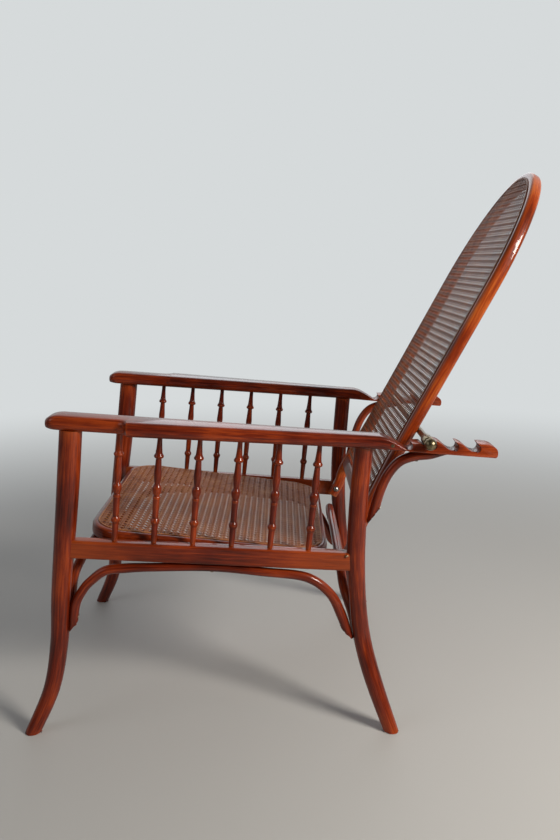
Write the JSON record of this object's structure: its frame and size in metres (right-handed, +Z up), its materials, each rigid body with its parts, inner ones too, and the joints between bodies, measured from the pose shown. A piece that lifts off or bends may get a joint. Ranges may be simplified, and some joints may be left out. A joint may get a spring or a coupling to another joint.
{
  "type": "reclining armchair",
  "caption": "Bentwood armchair with spindle sides, caned seat and tall caned back that rests on a bar lying in notched racks behind the arms, so its recline can be changed.",
  "frame": {"origin": "centre of the footprint box, on the floor", "axes": "+Z up, the chair faces -Y, the sitter's left is +X"},
  "size_m": [0.634, 0.9808, 1.0344],
  "materials": {
    "varnished_beech": "red-brown stain under glossy varnish, worn paler on edges",
    "beech": "plain turned dowel",
    "seat_cane": "woven rattan cane, golden tan",
    "back_cane": "woven rattan cane, aged brown",
    "aged_brass": "turned brass, dulled",
    "brass_screws": "slotted countersunk heads, dulled",
    "worn_steel": "plain steel, lightly worn"
  },
  "bodies": {
    "frame": {"front_leg_left": "varnished_beech", "front_leg_right": "varnished_beech", "rear_leg_left": "varnished_beech", "rear_leg_right": "varnished_beech", "side_rail_left": "varnished_beech", "side_rail_right": "varnished_beech", "arm_left": "varnished_beech", "arm_right": "varnished_beech", "side_arch_left": "varnished_beech", "side_arch_right": "varnished_beech", "rack_left": "varnished_beech", "rack_right": "varnished_beech", "rack_brace_left": "varnished_beech", "rack_brace_right": "varnished_beech", "pivot_bolt_left": "worn_steel", "pivot_bolt_right": "worn_steel", "spindle_left_1": "varnished_beech", "spindle_left_2": "varnished_beech", "spindle_left_3": "varnished_beech", "spindle_left_4": "varnished_beech", "spindle_left_5": "varnished_beech", "spindle_left_6": "varnished_beech", "spindle_right_1": "varnished_beech", "spindle_right_2": "varnished_beech", "spindle_right_3": "varnished_beech", "spindle_right_4": "varnished_beech", "spindle_right_5": "varnished_beech", "spindle_right_6": "varnished_beech", "front_arch": "varnished_beech", "rear_arch": "varnished_beech", "seat_ring": "varnished_beech", "seat_cane": "seat_cane", "pivot_washers": "worn_steel", "rail_screws": "brass_screws", "arch_screws": "brass_screws", "brace_screws": "brass_screws", "lap_screws": "brass_screws", "seat_dowels": "beech"},
    "back": {"back_hoop": "varnished_beech", "back_lower_rail": "varnished_beech", "back_cane": "back_cane"},
    "bar": {"bar_collar_left": "aged_brass", "bar_collar_right": "aged_brass", "bar_ball_left": "aged_brass", "bar_ball_right": "aged_brass", "bar_rod": "aged_brass"}
  },
  "joints": [
    {"name": "back_recline", "type": "hinge", "parent": "frame", "child": "back", "pos_m": [0, 0.11923, 0.327], "axis": [1, 0, 0], "range_deg": [0, 92]},
    {"name": "bar_roll", "type": "hinge", "parent": "frame", "child": "bar", "pos_m": [0, 0.2485, 0.55], "axis": [1, 0, 0], "continuous": true}
  ]
}
